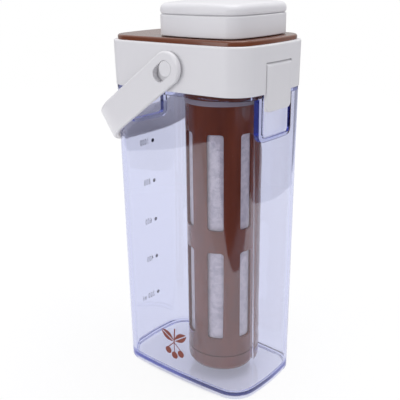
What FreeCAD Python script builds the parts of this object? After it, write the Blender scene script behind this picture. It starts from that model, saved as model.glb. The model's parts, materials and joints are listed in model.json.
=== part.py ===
"""Cold brew coffee maker: a clear jug, a latched lid with a swing handle, and a hanging filter.

Millimetres. X runs along the long side, Y across, Z up. The origin is the middle of the
jug's underside. The handle hangs against the -X end, and the mouth, with the cap above it
and the filter below it, is off centre towards +X.
"""
import FreeCAD, Part
import math
import os
from FreeCAD import Vector

# ---------------------------------------------------------------- driving dimensions
# Jug: a clear box with rounded corners and slightly bowed sides, narrower at the foot.
JUG_HALF_LENGTH = 53.85
JUG_TOP_HALF_WIDTH = 37.35
JUG_FOOT_HALF_WIDTH = 35.55
JUG_CORNER = 16.8
JUG_TOP_BOW = 0.8
JUG_FOOT_BOW = 1.6
JUG_END_BOW = 1.3
JUG_WALL = 2.5
JUG_FLOOR = 3.8
JUG_FOOT_EDGE = 1.4
JUG_FOOT_RIM = 3.0
JUG_FOOT_RECESS = 1.8
JUG_FOOT_RECESS_EDGE = 1.0
JUG_INSIDE_EDGE = 3.0
RIM_STEP = 3.5
RIM_HEIGHT = 8.6

# Latch pockets: one recess in each end wall, open at the shoulder.
POCKET_HALF_WIDTH = 14.6
POCKET_DEPTH = 26.0
POCKET_CORNER = 2.4
CATCH_HALF_WIDTH = 8.0
CATCH_RADIUS = 0.9
CATCH_ABOVE_TIP = 5.2

# Collar: the white skirt and deck of the lid.
COLLAR_HEIGHT = 27.8
COLLAR_STEP = 0.6
COLLAR_CORNER = 16.6
COLLAR_LONG_BOW = 0.8
COLLAR_END_BOW = 1.4
COLLAR_DRAFT = 0.4
COLLAR_WALL = 2.4
COLLAR_DECK = 2.6
COLLAR_EDGE = 1.0
SEAT_GAP = 0.12

# Liner, the inner plate of the lid, and the gasket on the jug's rim.
GASKET_THICKNESS = 1.8
LINER_THICKNESS = 1.8
LINER_PLUG_DEPTH = 4.2
LINER_PLUG_GAP = 0.6
LINER_EDGE_GAP = 0.35
LINER_SEAL_WIDTH = 1.5
POST_ANGLE = 50.0
POST_GAP = 0.4
POST_RADIUS = 3.2
LINER_SCREW_SHANK = 1.2
LINER_SCREW_LENGTH = 7.0
LINER_SCREW_HEAD = 2.6
SCREW_HEAD_HEIGHT = 1.5
SCREW_RECESS_RADIUS = 1.0

# Top plate: the brown board on the deck.
PLATE_INSET = 2.6
PLATE_THICKNESS = 3.0
PLATE_EDGE = 1.3
PLATE_HOLE_GAP = 0.7
PLATE_BOSS_FROM_END = 11.45
PLATE_BOSS_FROM_SIDE = 11.95
PLATE_BOSS_RADIUS = 2.7
PLATE_SCREW_SHANK = 1.1
PLATE_SCREW_LENGTH = 4.0
PLATE_SCREW_HEAD = 4.4

# Neck: the brown mouth tube, which also carries the filter.
MOUTH_X = 13.7
FILTER_RADIUS = 23.7
NECK_WALL = 2.5
NECK_TOP_RADIUS = 25.4
NECK_RISE = 8.3
NECK_FLANGE_RADIUS = 30.0
NECK_FLANGE_THICKNESS = 1.4
NECK_GASKET_THICKNESS = 1.0
NECK_GASKET_WIDTH = 4.0
NECK_DROP = 5.9
SPIGOT_LENGTH = 9.6
SPIGOT_RADIUS = 20.2
SPIGOT_WALL = 1.8

# Screw lugs between neck and cap, and turn locks of the filter and its base.
THREAD_STARTS = 3
THREAD_LEAD = 12.0
THREAD_LUG_ARC = 50.0
THREAD_LUG_HEIGHT = 1.6
THREAD_LUG_DEPTH = 1.5
THREAD_GAP = 0.3
THREAD_BELOW_TOP = 3.0
LOCK_LUGS = 3
LOCK_ARC = 40.0
LOCK_LUG_HEIGHT = 2.0
LOCK_LUG_DEPTH = 1.15
LOCK_GAP = 0.3

# Cap: a rounded square skirt with a separate domed cover.
CAP_HALF = 31.5
CAP_CORNER = 10.0
CAP_BOW = 1.9
CAP_GAP = 0.4
CAP_SKIRT_HEIGHT = 12.2
CAP_SKIRT_EDGE = 0.8
CAP_WALL = 2.2
CAP_WEB = 2.3
CAP_SLEEVE_WALL = 2.2
CAP_GASKET_THICKNESS = 1.5
CAP_GASKET_OVERLAP = 1.2
CAP_GROOVE = 0.2
CAP_GROOVE_DEPTH = 1.3
CAP_SPIGOT_HEIGHT = 2.6
CAP_SPIGOT_WALL = 1.4
CAP_COVER_HEIGHT = 7.9
CAP_COVER_WALL = 2.4
CAP_COVER_EDGE = 3.6
CAP_COVER_UNDER = 1.6
CAP_DOME_RISE = 1.5
CAP_BOTTOM_EDGE = 0.6

# Handle: a flat band bent into a U, hung on two studs of the collar.
BAIL_THICKNESS = 3.7
BAIL_WIDTH = 20.2
BAIL_REACH = 79.7
BAIL_BEND = 27.0
BAIL_SIDE_GAP = 0.5
BAIL_REST_GAP = 0.3
BAIL_EDGE = 1.5
EYE_SLOT = 5.6
STUD_X = 2.4
STUD_RADIUS = 4.8
STUD_HEIGHT_ON_COLLAR = 13.9
STUD_RUNNING_GAP = 0.08

# Latches: one hinged flap in each end of the collar.
LATCH_HALF_WIDTH = 13.0
LATCH_THICKNESS = 2.6
LATCH_BARREL = 2.3
LATCH_TIP_BELOW_SHOULDER = 10.5
LATCH_SIDE_GAP = 0.35
LATCH_TOP_GAP = 0.35
LATCH_TIP_CORNER = 3.0
LATCH_PIN_RADIUS = 0.9
LATCH_PIN_GAP = 0.06
LATCH_PIN_REACH = 3.0
LATCH_PIN_BELOW_DECK = 12.6
LATCH_HOOK_RADIUS = 0.8
LATCH_HOOK_GAP = 0.2
CHEEK_WIDTH = 4.2
CHEEK_DEPTH = 2.6
CHEEK_BELOW_PIN = 2.1

# Filter: a caged tube with two rows of mesh windows and a turn-off base. Its length sets the
# jug's height.
CAGE_WALL = 2.0
CAGE_CLEAR_OF_FLOOR = 4.2
CAGE_ABOVE_WINDOWS = 17.1
FILTER_GASKET_THICKNESS = 3.1
FILTER_GASKET_PROUD = 0.15
WINDOW_COLUMNS = 7
WINDOW_ARC = 24.0
WINDOW_START = -65.7
WINDOW_HEIGHT = 62.2
WINDOW_BAND = 15.0
WINDOW_ABOVE_BASE = 12.5
WINDOW_CORNER = 2.0
MESH_THICKNESS = 0.4
MESH_OVERLAP = 5.0
BASE_HEIGHT = 12.2
BASE_EDGE = 6.0
BASE_WALL = 2.0
BASE_SEAL_THICKNESS = 0.8
BASE_SEAL_INSET = 0.5
BASE_UPSTAND = 6.0

# ---------------------------------------------------------------- heights worked out
BASE_BOTTOM = JUG_FLOOR + CAGE_CLEAR_OF_FLOOR
BASE_TOP = BASE_BOTTOM + BASE_HEIGHT
CAGE_BOTTOM = BASE_TOP + BASE_SEAL_THICKNESS
LOWER_WINDOW = CAGE_BOTTOM + WINDOW_ABOVE_BASE
UPPER_WINDOW = LOWER_WINDOW + WINDOW_HEIGHT + WINDOW_BAND
CAGE_TOP = UPPER_WINDOW + WINDOW_HEIGHT + CAGE_ABOVE_WINDOWS
NECK_SHOULDER = CAGE_TOP + FILTER_GASKET_THICKNESS + SEAT_GAP
SPIGOT_BOTTOM = NECK_SHOULDER - SPIGOT_LENGTH
COLLAR_BOTTOM = NECK_SHOULDER + NECK_DROP
SHOULDER = COLLAR_BOTTOM - SEAT_GAP
POCKET_BOTTOM = SHOULDER - POCKET_DEPTH
RIM_TOP = SHOULDER + RIM_HEIGHT
COLLAR_TOP = COLLAR_BOTTOM + COLLAR_HEIGHT
DECK_UNDERSIDE = COLLAR_TOP - COLLAR_DECK
GASKET_BOTTOM = RIM_TOP + SEAT_GAP
LINER_BOTTOM = GASKET_BOTTOM + GASKET_THICKNESS
LINER_TOP = LINER_BOTTOM + LINER_THICKNESS
PLATE_TOP = COLLAR_TOP + PLATE_THICKNESS
FLANGE_TOP = COLLAR_TOP + NECK_FLANGE_THICKNESS
NECK_TOP = PLATE_TOP + NECK_RISE
CAP_BOTTOM = PLATE_TOP + CAP_GAP
CAP_SKIRT_TOP = CAP_BOTTOM + CAP_SKIRT_HEIGHT
CAP_WEB_UNDERSIDE = NECK_TOP + SEAT_GAP + CAP_GASKET_THICKNESS
COVER_BOTTOM = CAP_SKIRT_TOP + CAP_GROOVE
COVER_TOP = COVER_BOTTOM + CAP_COVER_HEIGHT
STUD_Z = COLLAR_BOTTOM + STUD_HEIGHT_ON_COLLAR
LATCH_PIN_Z = COLLAR_TOP - LATCH_PIN_BELOW_DECK
LATCH_TIP = SHOULDER - LATCH_TIP_BELOW_SHOULDER

# ---------------------------------------------------------------- radii and offsets
COLLAR_HALF_LENGTH = JUG_HALF_LENGTH + COLLAR_STEP
COLLAR_HALF_WIDTH = JUG_TOP_HALF_WIDTH + COLLAR_STEP
CAGE_INNER = FILTER_RADIUS - CAGE_WALL
NECK_BORE = FILTER_RADIUS - NECK_WALL
LUG_TIP = SPIGOT_RADIUS + LOCK_LUG_DEPTH
SLEEVE_BORE = NECK_TOP_RADIUS + THREAD_LUG_DEPTH + THREAD_GAP
PLATE_HOLE = NECK_TOP_RADIUS + THREAD_LUG_DEPTH + PLATE_HOLE_GAP
POCKET_BACK = JUG_HALF_LENGTH - RIM_STEP
LATCH_FACE = COLLAR_HALF_LENGTH - COLLAR_DRAFT * 0.5
LATCH_PIN_X = LATCH_FACE - LATCH_BARREL
BAIL_INNER_Y = COLLAR_HALF_WIDTH + BAIL_SIDE_GAP
BAIL_OUTER_Y = BAIL_INNER_Y + BAIL_THICKNESS
PLATE_BOSS_X = COLLAR_HALF_LENGTH - PLATE_BOSS_FROM_END
PLATE_BOSS_Y = COLLAR_HALF_WIDTH - PLATE_BOSS_FROM_SIDE
PLATE_BOSSES = [(sx * PLATE_BOSS_X, sy * PLATE_BOSS_Y) for sx in (-1, 1) for sy in (-1, 1)]
POST_FROM_MOUTH = FILTER_RADIUS + LINER_SEAL_WIDTH + POST_GAP + POST_RADIUS
POST_X = MOUTH_X + POST_FROM_MOUTH * math.cos(math.radians(POST_ANGLE))
POST_Y = POST_FROM_MOUTH * math.sin(math.radians(POST_ANGLE))
LINER_POSTS = [(sx * POST_X, sy * POST_Y) for sx in (-1, 1) for sy in (-1, 1)]
UP = Vector(0, 0, 1)
OVER = 1.0
FLAT = 1e-4


# ---------------------------------------------------------------- shapes
class Section:
    """A rounded rectangle whose sides are shallow arcs, with exact parallel insets."""

    def __init__(self, half_x, half_y, corner, end_radius, long_radius):
        self.half_x, self.half_y, self.corner = half_x, half_y, corner
        self.end_radius, self.long_radius = end_radius, long_radius

    def inset(self, distance):
        """The same outline moved in by a distance all round."""
        return Section(self.half_x - distance, self.half_y - distance, self.corner - distance,
                       self.end_radius - distance, self.long_radius - distance)

    def wire(self, z, centre_x=0.0):
        """The closed outline at a height: four side arcs and four tangent corner arcs."""
        end_centre = self.half_x - self.end_radius
        long_centre = self.half_y - self.long_radius
        to_end = self.end_radius - self.corner
        to_long = self.long_radius - self.corner
        span = math.hypot(end_centre, long_centre)
        along = (to_end ** 2 - to_long ** 2 + span ** 2) / (2 * span)
        off = math.sqrt(to_end ** 2 - along ** 2)
        ux, uy = -end_centre / span, long_centre / span
        cx = end_centre + along * ux - off * uy
        cy = along * uy + off * ux
        end_touch = ((cx - end_centre) * self.end_radius / to_end + end_centre,
                     cy * self.end_radius / to_end)
        long_touch = (cx * self.long_radius / to_long,
                      (cy - long_centre) * self.long_radius / to_long + long_centre)
        diagonal = math.atan2(end_touch[1] - cy + long_touch[1] - cy,
                              end_touch[0] - cx + long_touch[0] - cx)
        corner_mid = (cx + self.corner * math.cos(diagonal), cy + self.corner * math.sin(diagonal))
        quarter = [(self.half_x, 0.0), end_touch, corner_mid, long_touch, (0.0, self.half_y)]
        left = [(-x, y) for x, y in reversed(quarter[:-1])]
        upper = quarter + left
        lower = [(x, -y) for x, y in reversed(upper[1:-1])]
        points = [Vector(x + centre_x, y, z) for x, y in upper + lower]
        arcs = []
        count = len(points)
        for start in range(1, count, 2):
            middle, stop = (start + 1) % count, (start + 2) % count
            arcs.append(Part.Arc(points[start], points[middle], points[stop]).toShape())
        return Part.Wire(arcs)


def bow_radius(half_chord, bow):
    """The radius of a shallow arc from its half chord and how far it stands out."""
    return (half_chord ** 2 + bow ** 2) / (2 * bow)


def bowed(half_x, half_y, corner, end_bow, long_bow):
    """A section given by how far each side bows out between its corners."""
    end_radius = bow_radius(half_y - corner, end_bow) + corner
    long_radius = bow_radius(half_x - corner, long_bow) + corner
    return Section(half_x, half_y, corner, end_radius, long_radius)


def prism(section, low, high, centre_x=0.0):
    """A straight block of one section between two heights."""
    face = Part.Face(section.wire(low, centre_x))
    return face.extrude(UP * (high - low))


def taper(low_section, low, high_section, high):
    """A block whose section changes evenly between two heights."""
    return Part.makeLoft([low_section.wire(low), high_section.wire(high)], True, True)


def disc(radius, low, high, x=0.0, y=0.0):
    """An upright cylinder between two heights."""
    return Part.makeCylinder(radius, high - low, Vector(x, y, low), UP)


def ring(outer, inner, low, high, x=0.0, y=0.0):
    """An upright tube between two heights."""
    return disc(outer, low, high, x, y).cut(disc(inner, low - OVER, high + OVER, x, y))


def ring_part(outer, inner, low, high, middle, arc, x):
    """A stretch of a flat ring, centred on an angle in degrees."""
    sector = Part.makeCylinder(outer, high - low, Vector(0, 0, low), UP, arc)
    sector.rotate(Vector(0, 0, 0), UP, middle - arc / 2)
    sector = sector.cut(disc(inner, low - OVER, high + OVER))
    return sector.translated(Vector(x, 0, 0))


def box(x0, x1, y0, y1, z0, z1):
    """A plain block between two corners."""
    low = Vector(min(x0, x1), min(y0, y1), z0)
    return Part.makeBox(abs(x1 - x0), abs(y1 - y0), z1 - z0, low)


def bar_y(radius, half_length, x, z):
    """A round bar along Y, centred on Y = 0."""
    return Part.makeCylinder(radius, 2 * half_length, Vector(x, -half_length, z), Vector(0, 1, 0))


def joined(first, others):
    """One clean solid made of several that meet."""
    return first.multiFuse(others).removeSplitter()


def edges_near(shape, z):
    """The edges of a shape that lie flat at one height."""
    return [edge for edge in shape.Edges
            if abs(edge.BoundBox.ZMin - z) < FLAT and abs(edge.BoundBox.ZMax - z) < FLAT]


def helix_lug(inner, outer, height, middle_z, middle_angle):
    """A short stretch of a coarse screw ridge round the mouth's axis."""
    turn = THREAD_LUG_ARC / 360
    spine = Part.makeHelix(THREAD_LEAD, THREAD_LEAD * turn, (inner + outer) / 2)
    corners = [Vector(inner, 0, -height / 2), Vector(outer, 0, -height / 2),
               Vector(outer, 0, height / 2), Vector(inner, 0, height / 2)]
    profile = Part.makePolygon(corners + corners[:1])
    lug = Part.Wire(spine.Edges).makePipeShell([profile], True, True)
    lug.rotate(Vector(0, 0, 0), UP, middle_angle - THREAD_LUG_ARC / 2)
    return lug.translated(Vector(MOUTH_X, 0, middle_z - THREAD_LEAD * turn / 2))


# ---------------------------------------------------------------- sections in use
JUG_TOP = bowed(JUG_HALF_LENGTH, JUG_TOP_HALF_WIDTH, JUG_CORNER, JUG_END_BOW, JUG_TOP_BOW)
JUG_FOOT = bowed(JUG_HALF_LENGTH, JUG_FOOT_HALF_WIDTH, JUG_CORNER, JUG_END_BOW, JUG_FOOT_BOW)
RIM_OUTER = JUG_TOP.inset(RIM_STEP)
RIM_INNER = JUG_TOP.inset(RIM_STEP + JUG_WALL)
COLLAR_UPPER = bowed(COLLAR_HALF_LENGTH, COLLAR_HALF_WIDTH, COLLAR_CORNER,
                     COLLAR_END_BOW, COLLAR_LONG_BOW)
COLLAR_LOWER = COLLAR_UPPER.inset(COLLAR_DRAFT)
CAP_OUTLINE = bowed(CAP_HALF, CAP_HALF, CAP_CORNER, CAP_BOW, CAP_BOW)


# ---------------------------------------------------------------- jug
def pocket_tool(end, grow=0.0):
    """The block that a latch pocket removes, or with grow its lining."""
    bottom = POCKET_BOTTOM - grow
    block = box(end * (POCKET_BACK - grow), end * (JUG_HALF_LENGTH + OVER + grow),
                -POCKET_HALF_WIDTH - grow, POCKET_HALF_WIDTH + grow, bottom, RIM_TOP)
    lower = [edge for edge in edges_near(block, bottom) if edge.BoundBox.YLength < FLAT]
    return block.makeFillet(POCKET_CORNER + grow, lower)


def jug_body():
    """The clear jug with its foot rim, stepped mouth rim, latch pockets and catches."""
    outer = taper(JUG_FOOT, 0.0, JUG_TOP, SHOULDER)
    outer = outer.makeFillet(JUG_FOOT_EDGE, edges_near(outer, 0.0))
    recess = prism(JUG_FOOT.inset(JUG_FOOT_RIM), -OVER, JUG_FOOT_RECESS)
    recess = recess.makeFillet(JUG_FOOT_RECESS_EDGE, edges_near(recess, JUG_FOOT_RECESS))
    outer = outer.cut(recess)
    rim = prism(RIM_OUTER, SHOULDER - JUG_WALL, RIM_TOP)
    full = joined(outer, [rim])
    cavity = taper(JUG_FOOT.inset(JUG_WALL), JUG_FLOOR, JUG_TOP.inset(JUG_WALL), SHOULDER - JUG_WALL)
    cavity = cavity.makeFillet(JUG_INSIDE_EDGE, edges_near(cavity, JUG_FLOOR))
    mouth = prism(RIM_INNER, SHOULDER - JUG_WALL - OVER, RIM_TOP + OVER)
    body = full.cut(joined(cavity, [mouth]))
    for end in (-1, 1):
        lining = pocket_tool(end, JUG_WALL).common(full)
        catch = bar_y(CATCH_RADIUS, CATCH_HALF_WIDTH, end * POCKET_BACK, LATCH_TIP + CATCH_ABOVE_TIP)
        body = joined(body, [lining]).cut(pocket_tool(end))
        body = joined(body, [catch])
    return body


# ---------------------------------------------------------------- lid
def stud(side):
    """The stud that a handle eye turns on, rooted in the collar's wall."""
    root = COLLAR_HALF_WIDTH - COLLAR_DRAFT - COLLAR_WALL / 2
    post = Part.makeCylinder(STUD_RADIUS, BAIL_OUTER_Y - root, Vector(STUD_X, side * root, STUD_Z),
                             Vector(0, side, 0))
    tip = [edge for edge in post.Edges if abs(abs(edge.BoundBox.YMin) - BAIL_OUTER_Y) < FLAT
           and edge.BoundBox.YLength < FLAT]
    return post.makeFillet(BAIL_EDGE / 2, tip)


def latch_window(end):
    """The opening in the collar's end that a latch fills."""
    half = LATCH_HALF_WIDTH + LATCH_SIDE_GAP
    depth = LATCH_PIN_X - LATCH_BARREL - LATCH_TOP_GAP
    return box(end * depth, end * (COLLAR_HALF_LENGTH + OVER), -half, half,
               COLLAR_BOTTOM - OVER, LATCH_PIN_Z + LATCH_BARREL + LATCH_TOP_GAP)


def latch_cheek(end, side):
    """The block beside a latch window that holds one end of the pin."""
    start = side * (LATCH_HALF_WIDTH + LATCH_SIDE_GAP)
    return box(end * (LATCH_PIN_X - CHEEK_DEPTH), end * (COLLAR_HALF_LENGTH - COLLAR_WALL / 2),
               start, start + side * CHEEK_WIDTH,
               LATCH_PIN_Z - CHEEK_BELOW_PIN, LATCH_PIN_Z + CHEEK_DEPTH)


def collar():
    """The white skirt and deck, with studs, cheeks and screw posts."""
    outer = taper(COLLAR_LOWER, COLLAR_BOTTOM, COLLAR_UPPER, COLLAR_TOP)
    outer = outer.makeFillet(COLLAR_EDGE, edges_near(outer, COLLAR_TOP))
    hollow = taper(COLLAR_LOWER.inset(COLLAR_WALL), COLLAR_BOTTOM - OVER,
                   COLLAR_UPPER.inset(COLLAR_WALL), DECK_UNDERSIDE)
    shell = outer.cut(hollow)
    additions = [disc(POST_RADIUS, LINER_TOP, DECK_UNDERSIDE + OVER, x, y) for x, y in LINER_POSTS]
    additions += [latch_cheek(end, side).common(outer) for end in (-1, 1) for side in (-1, 1)]
    additions += [stud(side) for side in (-1, 1)]
    shell = joined(shell, additions)
    cuts = [disc(FILTER_RADIUS + SEAT_GAP, DECK_UNDERSIDE - OVER, COLLAR_TOP + OVER, MOUTH_X)]
    cuts.append(disc(NECK_FLANGE_RADIUS, COLLAR_TOP - NECK_GASKET_THICKNESS, COLLAR_TOP + OVER, MOUTH_X))
    cuts += [latch_window(end) for end in (-1, 1)]
    cuts += [bar_y(LATCH_PIN_RADIUS, LATCH_HALF_WIDTH + LATCH_PIN_REACH, end * LATCH_PIN_X, LATCH_PIN_Z)
             for end in (-1, 1)]
    cuts += [disc(PLATE_BOSS_RADIUS, DECK_UNDERSIDE - OVER, COLLAR_TOP + OVER, x, y)
             for x, y in PLATE_BOSSES]
    cuts += [disc(LINER_SCREW_SHANK, LINER_TOP - OVER, LINER_BOTTOM + LINER_SCREW_LENGTH, x, y)
             for x, y in LINER_POSTS]
    for cut in cuts:
        shell = shell.cut(cut)
    return shell.removeSplitter()


def top_plate():
    """The brown board, with bosses that pass through the deck."""
    section = COLLAR_UPPER.inset(PLATE_INSET)
    board = prism(section, COLLAR_TOP, PLATE_TOP)
    board = board.makeFillet(PLATE_EDGE, edges_near(board, PLATE_TOP))
    bosses = [disc(PLATE_BOSS_RADIUS, DECK_UNDERSIDE, COLLAR_TOP + OVER, x, y) for x, y in PLATE_BOSSES]
    board = joined(board, bosses)
    board = board.cut(disc(PLATE_HOLE, COLLAR_TOP - OVER, PLATE_TOP + OVER, MOUTH_X))
    board = board.cut(disc(NECK_FLANGE_RADIUS, COLLAR_TOP - OVER, FLANGE_TOP, MOUTH_X))
    for x, y in PLATE_BOSSES:
        board = board.cut(disc(PLATE_SCREW_SHANK, DECK_UNDERSIDE - OVER,
                               DECK_UNDERSIDE + PLATE_SCREW_LENGTH, x, y))
    return board


def screws(places, head_radius, shank_radius, seat, length):
    """Screws driven upwards from a seat, as one group."""
    parts = []
    for x, y in places:
        head = disc(head_radius, seat - SCREW_HEAD_HEIGHT, seat, x, y)
        shank = disc(shank_radius, seat - OVER, seat + length, x, y)
        recess = disc(SCREW_RECESS_RADIUS, seat - SCREW_HEAD_HEIGHT - OVER,
                      seat - SCREW_HEAD_HEIGHT / 2, x, y)
        parts.append(joined(head, [shank]).cut(recess))
    return Part.makeCompound(parts)


def plate_screws():
    """Four screws that hold the top plate down from under the deck."""
    return screws(PLATE_BOSSES, PLATE_SCREW_HEAD, PLATE_SCREW_SHANK, DECK_UNDERSIDE, PLATE_SCREW_LENGTH)


def liner_screws():
    """Four screws that hold the liner to the collar's posts."""
    return screws(LINER_POSTS, LINER_SCREW_HEAD, LINER_SCREW_SHANK, LINER_BOTTOM, LINER_SCREW_LENGTH)


def lid_liner():
    """The inner plate with a plug wall that enters the jug's rim."""
    plate = prism(COLLAR_LOWER.inset(COLLAR_WALL + LINER_EDGE_GAP), LINER_BOTTOM, LINER_TOP)
    plug = RIM_INNER.inset(LINER_PLUG_GAP)
    wall = prism(plug, RIM_TOP - LINER_PLUG_DEPTH, LINER_BOTTOM + OVER)
    wall = wall.cut(prism(plug.inset(LINER_THICKNESS), RIM_TOP - LINER_PLUG_DEPTH - OVER, LINER_BOTTOM))
    liner = joined(plate, [wall])
    liner = liner.cut(disc(FILTER_RADIUS + LINER_SEAL_WIDTH, LINER_BOTTOM - OVER, LINER_TOP + OVER,
                           MOUTH_X))
    for x, y in LINER_POSTS:
        liner = liner.cut(disc(LINER_SCREW_SHANK, LINER_BOTTOM - OVER, LINER_TOP + OVER, x, y))
    return liner


def rim_gasket():
    """The silicone ring between the liner and the jug's rim."""
    outer = prism(RIM_OUTER, GASKET_BOTTOM, LINER_BOTTOM)
    inner = prism(RIM_INNER.inset(LINER_PLUG_GAP), GASKET_BOTTOM - OVER, LINER_BOTTOM + OVER)
    return outer.cut(inner)


def liner_seal():
    """The ring that closes the gap between the liner and the neck."""
    return ring(FILTER_RADIUS + LINER_SEAL_WIDTH, FILTER_RADIUS, LINER_BOTTOM, LINER_TOP, MOUTH_X)


# ---------------------------------------------------------------- neck and cap
def lock_lugs(inner, outer, low, high, start_angle):
    """A set of flat lugs spaced evenly round the mouth's axis."""
    return [ring_part(outer, inner, low, high, start_angle + 360 / LOCK_LUGS * i, LOCK_ARC, MOUTH_X)
            for i in range(LOCK_LUGS)]


def thread_lugs(inner, outer, middle_z):
    """The screw lugs of one part, one to each start of the thread."""
    return [helix_lug(inner, outer, THREAD_LUG_HEIGHT, middle_z, 360 / THREAD_STARTS * i)
            for i in range(THREAD_STARTS)]


def pour_neck():
    """The mouth tube: thread above the deck, turn lock for the filter below it."""
    bore = disc(NECK_BORE, NECK_SHOULDER + NECK_WALL, NECK_TOP + OVER, MOUTH_X)
    spigot_bore = disc(SPIGOT_RADIUS - SPIGOT_WALL, SPIGOT_BOTTOM - OVER, NECK_TOP, MOUTH_X)
    body = joined(disc(FILTER_RADIUS, NECK_SHOULDER, FLANGE_TOP, MOUTH_X), [
        disc(NECK_FLANGE_RADIUS, COLLAR_TOP, FLANGE_TOP, MOUTH_X),
        disc(NECK_TOP_RADIUS, COLLAR_TOP, NECK_TOP, MOUTH_X),
        disc(SPIGOT_RADIUS, SPIGOT_BOTTOM, NECK_SHOULDER + OVER, MOUTH_X)])
    body = body.cut(bore).cut(spigot_bore)
    locks = lock_lugs(SPIGOT_RADIUS - SPIGOT_WALL / 2, LUG_TIP, SPIGOT_BOTTOM,
                      SPIGOT_BOTTOM + LOCK_LUG_HEIGHT, 0.0)
    ridges = thread_lugs(NECK_TOP_RADIUS - NECK_WALL / 2, NECK_TOP_RADIUS + THREAD_LUG_DEPTH,
                         NECK_TOP - THREAD_BELOW_TOP)
    return joined(body, locks + ridges)


def neck_gasket():
    """The ring under the neck's flange."""
    return ring(NECK_FLANGE_RADIUS, NECK_FLANGE_RADIUS - NECK_GASKET_WIDTH,
                COLLAR_TOP - NECK_GASKET_THICKNESS, COLLAR_TOP, MOUTH_X)


def cap_skirt():
    """The lower half of the cap, with the threaded sleeve and a spigot for the cover."""
    outer = prism(CAP_OUTLINE, CAP_BOTTOM, CAP_SKIRT_TOP, MOUTH_X)
    outer = outer.makeFillet(CAP_BOTTOM_EDGE, edges_near(outer, CAP_BOTTOM))
    outer = outer.makeFillet(CAP_SKIRT_EDGE, edges_near(outer, CAP_SKIRT_TOP))
    hollow = prism(CAP_OUTLINE.inset(CAP_WALL), CAP_BOTTOM - OVER, CAP_WEB_UNDERSIDE, MOUTH_X)
    sleeve = ring(SLEEVE_BORE + CAP_SLEEVE_WALL, SLEEVE_BORE, CAP_BOTTOM + CAP_GAP,
                  CAP_WEB_UNDERSIDE + CAP_WEB / 2, MOUTH_X)
    collar_ring = CAP_OUTLINE.inset(CAP_GROOVE_DEPTH)
    spigot = prism(collar_ring, CAP_SKIRT_TOP - OVER, COVER_BOTTOM, MOUTH_X)
    inner_ring = CAP_OUTLINE.inset(CAP_COVER_WALL)
    tongue = prism(inner_ring, COVER_BOTTOM - OVER, COVER_BOTTOM + CAP_SPIGOT_HEIGHT, MOUTH_X)
    bottom = CAP_WEB_UNDERSIDE + CAP_WEB
    well = prism(inner_ring.inset(CAP_SPIGOT_WALL), bottom,
                 COVER_BOTTOM + CAP_SPIGOT_HEIGHT + OVER, MOUTH_X)
    body = joined(outer.cut(hollow), [sleeve, spigot, tongue]).cut(well)
    below = THREAD_BELOW_TOP + THREAD_LUG_HEIGHT + THREAD_GAP
    lugs = thread_lugs(NECK_TOP_RADIUS + THREAD_GAP, SLEEVE_BORE + CAP_SLEEVE_WALL / 2, NECK_TOP - below)
    return joined(body, lugs)


def cap_cover():
    """The domed top of the cap, an upturned tray pressed over the skirt's spigot."""
    radius = bow_radius(CAP_HALF, CAP_DOME_RISE)
    dome = Part.makeSphere(radius, Vector(MOUTH_X, 0, COVER_TOP - radius))
    outer = prism(CAP_OUTLINE, COVER_BOTTOM, COVER_TOP + OVER, MOUTH_X).common(dome)
    crown = [edge for edge in outer.Edges if edge.BoundBox.ZMin > COVER_BOTTOM + OVER
             and edge.BoundBox.ZMax < COVER_TOP - CAP_DOME_RISE / 2]
    outer = outer.makeFillet(CAP_COVER_EDGE, crown)
    outer = outer.makeFillet(CAP_COVER_UNDER, edges_near(outer, COVER_BOTTOM))
    ceiling = COVER_TOP - CAP_DOME_RISE - CAP_COVER_WALL
    cavity = prism(CAP_OUTLINE.inset(CAP_COVER_WALL), COVER_BOTTOM - OVER, ceiling, MOUTH_X)
    return outer.cut(cavity)


def cap_gasket():
    """The silicone ring in the cap that seals on the neck's top."""
    return ring(SLEEVE_BORE - THREAD_GAP, NECK_BORE - CAP_GASKET_OVERLAP,
                NECK_TOP + SEAT_GAP, CAP_WEB_UNDERSIDE, MOUTH_X)


# ---------------------------------------------------------------- handle
def bail_rest_angle():
    """How far below level the arms point where the rounded lower edge meets the jug's end wall."""
    edge_reach = BAIL_REACH - BAIL_THICKNESS + BAIL_EDGE
    edge_drop = BAIL_WIDTH / 2 - BAIL_EDGE
    stop = JUG_HALF_LENGTH + BAIL_REST_GAP + BAIL_EDGE + STUD_X
    return math.acos(stop / math.hypot(edge_reach, edge_drop)) - math.atan2(edge_drop, edge_reach)


def u_outline(side_y, reach, bend, start):
    """One half-open U in the XY plane, as a list of edges from one arm's end to the other."""
    centre_y = side_y - bend
    diagonal = bend * math.sqrt(0.5)
    points = [Vector(start, side_y, 0), Vector(bend - reach, side_y, 0),
              Vector(bend - reach - diagonal, centre_y + diagonal, 0), Vector(-reach, centre_y, 0),
              Vector(-reach, -centre_y, 0), Vector(bend - reach - diagonal, -centre_y - diagonal, 0),
              Vector(bend - reach, -side_y, 0), Vector(start, -side_y, 0)]
    return points, [Part.LineSegment(points[0], points[1]).toShape(),
                    Part.Arc(points[1], points[2], points[3]).toShape(),
                    Part.LineSegment(points[3], points[4]).toShape(),
                    Part.Arc(points[4], points[5], points[6]).toShape(),
                    Part.LineSegment(points[6], points[7]).toShape()]


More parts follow.
